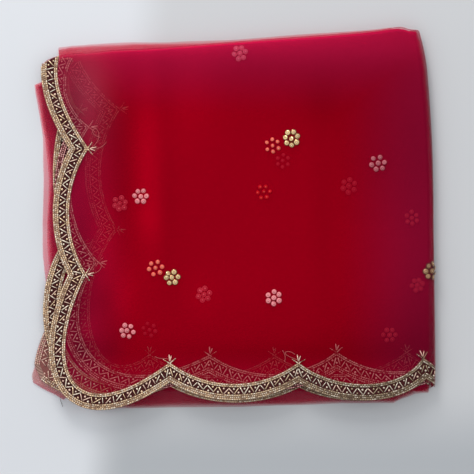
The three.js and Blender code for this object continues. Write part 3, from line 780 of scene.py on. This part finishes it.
strung = {}
for name in plyNets:
    place, keep = (onTop, keepTop) if name == "top" else (onLevel(levels[name]), keepUnder(name))
    trim, finishes = (trimGold, goldSet) if name in ("top", "fourth") else (trimRose, roseSet)
    ribbon, reach = borderRibbon(name + "Ribbon", borderLines[name], place, keep, trim)
    strung[name] = borderBeads(name + "Beads", borderLines[name], place, keep, finishes)
    declareSheet(ribbon, reach, borderWidth, name + "Net")
    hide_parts(name + "_border")
    print(name, "border:", len(strung[name].data.polygons), "bead faces")
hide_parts("sprig_left_far", "sprig_left_near",
            "sprig_near_1", "sprig_near_2", "sprig_near_3")

# Sequin flowers; a sequin's section is (out from its middle, rise)
flowerLook = {"sequin": 2.65, "gap": 1.04, "section": [(0.55, 0.7), (1.25, 0.85), (2.0, 0.6), (2.65, 0.0)],
              "stitch": 0.7, "stitchRise": 0.75}


def sequinMesh():
    # materials: 0 sequin, 1 stitch bead, 2 ring about the hole, 3 rim
    ringAt, rimAt = flowerLook["section"][1][0], flowerLook["section"][2][0]
    bm = bmesh.new()
    edge = [bm.verts.new((r, 0, z)) for r, z in flowerLook["section"]]
    edges = [bm.edges.new(pair) for pair in zip(edge, edge[1:])]
    bmesh.ops.spin(bm, geom=edge + edges, cent=(0, 0, 0), axis=(0, 0, 1), angle=2 * math.pi, steps=12,
                   use_merge=True)
    bmesh.ops.remove_doubles(bm, verts=bm.verts, dist=1e-4)
    bmesh.ops.recalc_face_normals(bm, faces=bm.faces)
    for face in bm.faces:
        out = face.calc_center_median().to_2d().length
        face.material_index = 2 if out < ringAt else 0 if out < rimAt else 3
        if face.normal.z < 0:
            face.normal_flip()
    bead = bmesh.ops.create_icosphere(bm, subdivisions=1, radius=flowerLook["stitch"])["verts"]
    bmesh.ops.translate(bm, verts=bead, vec=(0, 0, flowerLook["stitchRise"]))
    for face in {f for v in bead for f in v.link_faces}:
        face.material_index = 1
    return beadMesh(bm)


sequinShape = sequinMesh()


def flower(name, at, petals, turn, place, lift, finishes, spread=1.0, grow=1.0, uneven=1.0):
    bm = bmesh.new()
    ring = spread * flowerLook["sequin"] * flowerLook["gap"] / math.sin(math.pi / petals)
    turns = [turn + 2 * math.pi * i / petals for i in range(petals)]
    spots = [(0.0, 0.0)] + [(ring * math.cos(a), ring * math.sin(a)) for a in turns]
    for dx, dy in spots:
        x, y = (c + luck.uniform(-0.4, 0.4) * uneven for c in (at[0] + dx, at[1] + dy))
        here = place(x, y, lift + luck.uniform(0, 0.15))
        tilt = Vector((luck.uniform(-0.28, 0.28), luck.uniform(-0.28, 0.28), 0)) * uneven
        out = (place(x, y, lift + 1) - here + tilt).normalized()
        turned = Vector((1, luck.uniform(-1, 1), 0)).cross(out).cross(out)
        setDown(bm, sequinShape, here, turned, out, grow * luck.uniform(0.92, 1.06))
    return finishMesh(name, bm, finishes)


# Roughness, metallic, coat, shine, then the colours: sequin, stitch bead, ring about the hole, rim
flowerColours = {
    # gold and brown: the darker rings about the holes and the dark rims are painted shade within and between
    # the sequins
    "gold": (0.15, 0.7, 0.5, 0.5,
             (1.0, 0.73, 0.36), (1.0, 0.92, 0.70), (0.62, 0.33, 0.11), (0.25, 0.10, 0.03)),
    "brown": (0.3, 0.6, 0.3, 0.5,
             (0.48, 0.27, 0.12), (0.85, 0.56, 0.33), (0.14, 0.06, 0.025), (0.10, 0.04, 0.02)),
    "pink": (0.5, 0.1, 0.0, 0.5,
             (0.92, 0.30, 0.32), (1.0, 0.55, 0.50), (0.50, 0.08, 0.09), (0.62, 0.14, 0.16)),
    "pale": (0.5, 0.1, 0.0, 0.5,
             (0.50, 0.12, 0.145), (0.72, 0.26, 0.27), (0.26, 0.03, 0.05), (0.40, 0.075, 0.10)),
    "orange": (0.4, 0.2, 0.1, 0.5,
             (1.0, 0.17, 0.095), (1.0, 0.55, 0.36), (0.58, 0.04, 0.03), (0.50, 0.025, 0.02)),
    "ember": (0.5, 0.0, 0.0, 0.0,
             (0.44, 0.006, 0.012), (0.88, 0.11, 0.11), (0.58, 0.02, 0.02), (0.50, 0.006, 0.012)),
    "dim": (0.5, 0.0, 0.0, 0.15,
             (0.52, 0.02, 0.055), (0.9, 0.15, 0.18), (0.8, 0.09, 0.14), (0.92, 0.10, 0.16)),
    "haze": (0.5, 0.0, 0.0, 0.3,
             (0.62, 0.06, 0.15), (1.0, 0.36, 0.43), (0.85, 0.19, 0.28), (1.0, 0.28, 0.40)),
    "deep": (0.5, 0.0, 0.0, 0.1,
             (0.36, 0.005, 0.022), (0.74, 0.05, 0.085), (0.54, 0.025, 0.055), (0.60, 0.03, 0.065)),
}
flowerFinishes = {}
for name, (roughness, metallic, coat, shine, *colours) in flowerColours.items():
    flowerFinishes[name] = [metalFinish(name + part, colour, roughness, metallic, coat, shine)
                            for part, colour in zip(("Sequins", "Stitches", "Holes", "Rims"), colours)]

for name, node, at, petals, turn, colour in (
        ("flowerFar", "flower_far", (54.8, 76.0), 7, 0.3, "gold"),
        ("flowerNear", "flower_near", (-58.8, -56.0), 6, 0.1, "gold"),
        # the right flower is the gold kind seen from its back side, darkened further as painted shade for its
        # place on the right fold
        ("flowerRight", "flower_right", (188.4, -49.6), 7, 0.5, "brown")):
    piece = flower(name, at, petals, turn, onTop, 0.4, flowerFinishes[colour], 0.98, 1.08, 1.3)
    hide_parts(node)

# Name, across, up, petals, turn, finish, spread, grow
coveredFlowers = [
    ("reverseFlower1", 136.8, 52.4, 6, 0.2, "pale", 1.08, 0.93),
    ("reverseFlower2", 37.8, -75.2, 6, 0.5, "pink", 1.04, 1.0),
    ("reverseFlower3", -101.2, -106.8, 6, 0.9, "pink", 1.0, 0.91),
    ("reverseFlower4", -88.7, 21.4, 6, 0.0, "pink", 0.98, 0.96),
    ("flowerOneDown1", 37.0, 69.4, 6, 0.6, "orange", 1.06, 0.79),
    ("flowerOneDown2", -74.3, -47.0, 6, 0.2, "orange", 1.08, 0.9),
    ("flowerOneDown3", 28.2, 25.2, 6, 0.1, "ember", 1.05, 0.8),
    ("flowerOneDown4", -28.4, -72.2, 6, 0.3, "dim", 1.0, 0.98),
    ("flowerOneDown5", 109.4, 30.9, 6, 0.4, "deep", 1.05, 0.96),
    ("flowerOneDown6", 5.8, 157.3, 6, 0.2, "haze", 0.98, 0.95),
    ("flowerOneDown7", -108.2, 14.2, 6, 0.3, "dim", 0.98, 0.95),
    ("flowerTwoDown1", 46.7, 54.7, 6, 0.5, "deep", 1.0, 0.7),
    ("flowerTwoDown2", -80.2, -105.5, 6, 0.8, "deep", 1.0, 0.7),
    ("flowerTwoDown3", 174.5, -63.1, 6, 0.2, "deep", 0.9, 0.9),
    ("flowerTwoDown4", 169.2, 0.5, 6, 0.6, "deep", 1.0, 0.8),
    ("flowerTwoDown5", 147.9, -110.6, 6, 0.0, "deep", 1.0, 0.85),
]
# Height over the top ply
coveredLift = {"pink": 0.1, "pale": 0.1, "orange": 0.0, "ember": -0.1,
               "dim": -1.4, "haze": -1.4, "deep": -1.5}
for name, x, y, petals, turn, colour, spread, grow in coveredFlowers:
    piece = flower(name, (x, y), petals, turn, onTop, coveredLift[colour], flowerFinishes[colour],
                   spread, grow)
print("flowers sewn on")

# Loose threads that curl at the cusps: name, points (across, up) on the top ply
looseThreads = [
    ("thread1", [(-136, 67), (-130, 71), (-127, 79), (-130, 86), (-135, 85), (-134, 79), (-127, 77)]),
    ("thread2", [(-137, 66), (-130, 65), (-124, 68), (-121, 73)]),
    ("thread3", [(-138, -53), (-131, -52), (-126, -49), (-125, -43), (-129, -41)]),
    ("thread4", [(-139, -52), (-134, -46), (-131, -40), (-134, -36)]),
    ("thread5", [(60, -134), (54, -132), (48, -129), (49, -126), (54, -126), (58, -129)]),
    ("thread6", [(48, -136), (50, -132), (48, -128), (46, -125)]),
    ("thread7", [(-60, -134), (-66, -132), (-71, -134), (-75, -131)]),
]
threadLook = {"radius": 0.17, "lift": 0.45}
threadFinish = metalFinish("looseThreads", (0.55, 0.16, 0.15), 0.5, 0.0, 0.0)
darkThread = metalFinish("darkThread", (0.06, 0.02, 0.02), 0.7, 0.0, 0.0)


def thread(name, points, finish):
    curve = bpy.data.curves.new(name, "CURVE")
    curve.dimensions, curve.bevel_depth, curve.bevel_resolution = "3D", threadLook["radius"], 1
    curve.use_fill_caps = True
    line = curve.splines.new("NURBS")
    line.points.add(len(points) - 1)
    for point, place in zip(line.points, points):
        point.co = (*place, 1)
    line.use_endpoint_u, line.order_u, line.resolution_u = True, 4, 6
    drawn = addObject(name + "Curve", curve)
    mesh = bpy.data.meshes.new_from_object(drawn.evaluated_get(bpy.context.evaluated_depsgraph_get()))
    bpy.data.objects.remove(drawn)
    bm = bmesh.new()
    bm.from_mesh(mesh)
    for face in bm.faces:
        face.smooth = True
    return finishMesh(name, bm, [finish])


for name, points in looseThreads:
    thread(name, [onTop(x, y, threadLook["lift"]) for x, y in points], threadFinish)
# One dark end comes out under the flap: points (across, up, height)
tail = [(-165.6, -170.6, 2.2), (-165.2, -173.8, 1.2), (-163.8, -177.0, 0.5), (-163.2, -179.4, 0.4)]
thread("threadTail", tail, darkThread)

# The hidden plies, layered at the edges. from and to are heights, and corner has the radii at the near left
# and near right. fold: how far out the leaves reach at the right, at what height, and half the fold's height
leaves = {"count": 5, "from": 1.7, "to": 6.4, "left": -161.0, "near": -161.0, "width": 335,
          "corner": (13.0, 5.0), "fold": (5.6, 8.05, 6.9), "wall": 0.75}


def leafHeight(index):
    return leaves["from"] + (leaves["to"] - leaves["from"]) * index / (leaves["count"] - 1)


def hiddenLeaf(index):
    z = leafHeight(index)
    waver = [luck.uniform(0, 6.3) for _ in range(4)]
    reach, middle, half = leaves["fold"]
    bulge = reach * math.sqrt(max(1 - ((z - middle) / half) ** 2, 0)) - 0.8

    def plan(u, v):
        left = leaves["left"] + 0.6 * math.sin(v * 9 + waver[0]) + 0.8 * math.sin(index * 2.2)
        near = leaves["near"] + 0.6 * math.sin(u * 8 + waver[1]) + 0.8 * math.sin(index * 1.7 + 1)
        y = near + v * (lipY(left + u * leaves["width"]) - 1.6 - near)
        right = spineStart(min(y, 172)) + bulge + 0.5 * math.sin(v * 10 + waver[2])
        x = left + u * (right - left)
        # both near corners are rounded
        for side, edge, cut in ((1, left, leaves["corner"][0]), (-1, right, leaves["corner"][1])):
            dx, dy = side * (edge - x) + cut, near + cut - y
            if dx > 0 and dy > 0:
                far = max(math.hypot(dx, dy), 1e-6)
                limit = max(dx, dy)
                x, y = edge + side * (cut - dx / far * limit), near + cut - dy / far * limit
        return x, y

    def place(u, v):
        x, y = plan(u, v)
        rise = heightAt(levels["hidden"], x, y) - levels["hidden"] if index == leaves["count"] - 1 else 0.0
        edge = min(u, v, 1 - u, 1 - v) * leaves["width"]
        return Vector((x, y, z + rise * 0.8 - 0.35 * (1 - smooth(0, 4, edge))))

    return clothGrid(60, 60, place, stackToneAndPaintedShade)


leafPieces = []
for index in range(leaves["count"]):
    piece = finishMesh("hiddenLeaf%d" % (index + 1), hiddenLeaf(index), [netDeep])
    giveWall(piece, leaves["wall"])
    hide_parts("hidden_folds")
    leafPieces.append(piece)

# The lowest ply lies flat on the floor
lowestLook = {"left": -163, "near": -163, "inLip": 3, "inSpine": 0.5, "height": 0.5, "wall": 0.96}


def lowestSheet():
    def plan(u, v):
        left = lowestLook["left"] + 1.6 * math.sin(v * 17) * (1 - u)
        far = lipY(lowestLook["left"] + u * leaves["width"]) - lowestLook["inLip"]
        y = lowestLook["near"] + v * (far - lowestLook["near"])
        x = left + u * (spineStart(y) - lowestLook["inSpine"] - left)
        return x, y + 1.4 * math.sin(u * 17) * (1 - v)

    return clothGrid(60, 60, lambda u, v: Vector((*plan(u, v), lowestLook["height"])), stackToneAndPaintedShade)


lowestNet = finishMesh("lowestNet", lowestSheet(), [netDeep])
giveWall(lowestNet, lowestLook["wall"])
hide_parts("lowest_ply")

# Single edges that stand out past the stack; each station is an outer and an inner point
leftEdge = [((-183.0, 130.5), (-161.4, 126)), ((-190.0, 127.4), (-161.4, 120)),
            ((-187.4, 112), (-161.4, 108)), ((-182.0, 76), (-161.4, 76)),
            ((-180.8, 38), (-161.4, 38)), ((-182.6, -4), (-161.4, -4)),
            ((-181.6, -34), (-161.4, -34)), ((-179.4, -62), (-161.4, -62)), ((-177.5, -100), (-161.4, -100))]
farEdge = [((-167.2, 163.0), (-166.6, 153.8)), ((-156.0, 164.6), (-156, 155.6)),
           ((-120, 166.6), (-120, 159.3)),
           ((-96, 168.2), (-96, 161.2)), ((-62, 168.0), (-62, 163.2)), ((-30, 169.0), (-30, 165.0)),
           ((-4, 170.4), (-4, 166.4)), ((40, 173.4), (40, 169.4)), ((85, 176.6), (85, 172.4)),
           ((130, 180.2), (130, 176.2)), ((150, 181.8), (150, 178.4))]
nearEdge = [((-128, -180.4), (-128, -161.4)), ((-100, -181.0), (-100, -161.4)),
            ((-60, -179.4), (-60, -161.4)),
            ((10, -179.4), (10, -161.4)), ((60, -177.6), (60, -161.4)), ((100, -175.6), (100, -161.4)),
            ((152, -176.0), (152, -161.4)), ((160, -171.6), (160, -161.4)), ((172, -167.0), (172, -161.4)),
            ((180, -166.4), (180, -162.2)), ((185.6, -165.4), (185.6, -163.4))]
cornerEdge = [((-180.5, -116), (-161.4, -116)), ((-187.2, -129), (-161.5, -130)),
              ((-192.2, -148), (-161.9, -146)), ((-191.6, -156.4), (-160.6, -153.6)),
              ((-179.6, -163.4), (-157.0, -158.4)), ((-162.0, -172.6), (-150.6, -161.9))]


# under: how far an edge goes under the stack; lowest and step: its outer height by layer;
# change: where along it the first inset goes over to the second
edgeLook = {"under": 10.0, "lowest": 1.3, "step": 0.5, "change": (0.3, 0.5), "waver": 0.35, "ripple": 0.2,
            "droop": 0.6}


def edgeSheet(name, stations, insets, layer, tone):
    # a ply's edge: it lies between two hidden leaves and droops to its outer edge
    between = leafHeight(layer + 0.5)
    outside = edgeLook["lowest"] + edgeLook["step"] * layer

    def at(u, v):
        s = u * (len(stations) - 1)
        i = min(int(s), len(stations) - 2)
        outer, inner = (Vector(a).lerp(Vector(b), s - i) for a, b in zip(stations[i], stations[i + 1]))
        way = (inner - outer).normalized()
        inset = insets[0] + (insets[1] - insets[0]) * smooth(*edgeLook["change"], u)
        outer += way * (inset + edgeLook["waver"] * math.sin(u * 23 + layer))
        p = outer.lerp(inner + way * edgeLook["under"], v)
        free = 1 - smooth(0, edgeLook["droop"], v)
        ripple = edgeLook["ripple"] * free * math.sin(u * 31 + layer * 2)
        return Vector((p.x, p.y, between + (outside - between) * free + ripple))

    return finishMesh(name, clothGrid(70, 10, at, tone), [netSingle])


def cornerTone(across, up):
    # the flap is tan where it is turned, and red at its lowest bit
    low = smooth(-160, -163, up + 0.5 * (across + 178))
    return tuple((1 - low) * a + low * b for a, b in zip((0.66, 0.22, 0.20), (0.55, 0.002, 0.05)))


# Name, node, stations, (inset at either end, layer, tone) of each ply's edge, colour
edgeRows = [
    ("left", "left_fold", leftEdge,
     (((0, 0), 0, 1.0), ((1.1, 4.6), 1, 0.9), ((2.2, 5.8), 2, 0.7), ((3.6, 7.0), 3, 0.55),
      ((5.0, 8.2), 3, 0.5)),
     (0.95, 0.035, 0.11)),
    ("far", "far_fold", farEdge, (((0, 0), 0, 1.0), ((1.7, 2.2), 1, 1.0), ((2.8, 3.4), 2, 1.0)),
     (0.76, 0.030, 0.085)),
    # painted shade: the near edge's colour is darker than the left one's, for the shade along the stack's
    # near side
    ("near", "near_fold", nearEdge,
     (((0, 0), 0, 0.9), ((1.7, 1.3), 1, 0.85), ((2.9, 2.3), 2, 0.8), ((4.0, 3.4), 3, 0.8)),
     (0.52, 0.014, 0.05)),
    ("corner", "corner_flap", cornerEdge, (((0, 0), 0, 1.0), ((0.6, 0.6), 0.4, 1.0)), None),
]
for name, node, stations, plies, colour in edgeRows:
    for i, (insets, layer, gain) in enumerate(plies):
        tone = shade(colour, gain) if colour else cornerTone
        piece = edgeSheet(name + "Edge%d" % (i + 1), stations, insets, layer, tone)
        length = sum(math.dist(a[0], b[0]) for a, b in zip(stations, stations[1:]))
        width = sum(math.dist(*row) for row in stations) / len(stations) - sum(insets) / 2 + edgeLook["under"]
        declareSheet(piece, length, width, "floor")
        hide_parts(node)

# The flap's border is tan above a slanting line (through across, up, slope) and gold at its low end
flapLook = {"height": 2.7, "rise": 0.7, "line": (-172, -154, 0.3)}


def onFlap(across, up, lift=0.0):
    return Vector((across, up, flapLook["height"] + lift * flapLook["rise"]))


def flapTan(p):
    x, y, slope = flapLook["line"]
    return p.y - y + (p.x - x) * slope > 0


flapLine = borderLines["flap"]
flapRibbon, flapReach = borderRibbon("flapRibbon", flapLine, onFlap, lambda p: True, trimTan)
flapBeads = borderBeads("flapBeads", flapLine, onFlap, flapTan, tanSet, sprigs=False)
flapEndBeads = borderBeads("flapEndBeads", flapLine, onFlap, lambda p: not flapTan(p), goldSet, sprigs=False)
declareSheet(flapRibbon, flapReach, borderWidth, "cornerEdge1")
print("edges laid out")

for name, length, width, restsOn in (("top", 385, 355, "secondNet"), ("second", 360, 345, "thirdNet"),
                                     ("third", 350, 345, "fourthNet"), ("fourth", 365, 355, "hiddenLeaf5")):
    declareSheet(plyNets[name], length, width, restsOn)
for piece in leafPieces:
    declareSheet(piece, 345, 335, "lowestNet")
declareSheet(lowestNet, 345, 338, "floor")

# The table: bright, with painted shade that darkens it to the right and most toward the near side; all bright
# again far out
floorLook = {"bright": (0.77, 0.78, 0.80), "paintedShade": (0.645, 0.645, 0.65), "near": (0.48, 0.495, 0.51),
             "farFrom": (0.10, 0.35), "slant": 0.099, "paintedShadeFrom": (-0.125, -0.075),
             "nearShadeFrom": (0.150, 0.235)}
bm = bmesh.new()
bmesh.ops.create_grid(bm, x_segments=1, y_segments=1, size=3.0)
floorMesh = bpy.data.meshes.new("floor")
bm.to_mesh(floorMesh)
bm.free()
floor = addObject("floor", floorMesh)
table = Finish("tableWithPaintedShade", Roughness=0.7, Specular_IOR_Level=0.2)
far = table.ramp(table.place(0) ** 2 + table.place(1) ** 2, *floorLook["farFrom"])
# painted shade: darker to the right of a slanting line, darkest toward the near side, gone far from the stack
paintedShade = table.ramp(table.place(0) - table.place(1) * floorLook["slant"], *floorLook["paintedShadeFrom"]) * (1.0 - far)
near = table.ramp(table.place(1) * -1.0, *floorLook["nearShadeFrom"]) * paintedShade
top = table.mix(paintedShade, floorLook["bright"], floorLook["paintedShade"])
table.set(Base_Color=table.mix(near, top, floorLook["near"]))
floorMesh.materials.append(table.material)

# The room is brighter toward its window
lighting = {"sky": (0.93, 0.96, 1.0), "base": 0.46, "slope": 0.60, "from": (-0.35, 0.48, 0.80),
            "lamp": 15.0, "size": 0.7, "at": (-0.45, 1.60, 1.05)}
world = bpy.data.worlds.new("softRoom")
bpy.context.scene.world = world
world.use_nodes = True
sky = Grower(world.node_tree)
direction = sky.node("ShaderNodeTexCoord")
toward = sky.node("ShaderNodeVectorMath", {"operation": "DOT_PRODUCT"}, {0: direction, 1: lighting["from"]},
                  output=1)
dimmest, brightest = lighting["base"] - lighting["slope"], lighting["base"] + lighting["slope"]
strength = sky.node("ShaderNodeMapRange", {}, {0: toward, 1: -1, 2: 1, 3: dimmest, 4: brightest})
background = world.node_tree.nodes["Background"]
sky.feed(background.inputs["Color"], lighting["sky"])
sky.feed(background.inputs["Strength"], strength)
lampData = bpy.data.lights.new("window", "AREA")
lampData.energy, lampData.size = lighting["lamp"], lighting["size"]
lamp = addObject("window", lampData)
lamp.location = lighting["at"]
lamp.rotation_euler = (-Vector(lighting["at"])).to_track_quat("-Z", "Y").to_euler()

# frameWidth is what the picture spans, at the height of plane
view = {"height": 5.0, "plane": 0.0165, "frameWidth": 0.4503, "aim": (0.003111, -0.017446), "sensor": 36}
cameraData = bpy.data.cameras.new("camera")
cameraData.sensor_width = view["sensor"]
cameraData.lens = view["sensor"] * (view["height"] - view["plane"]) / view["frameWidth"]
camera = addObject("camera", cameraData)
camera.location = (*view["aim"], view["height"])
bpy.context.scene.camera = camera
bpy.context.scene.view_settings.view_transform = "Standard"
print("scene set")
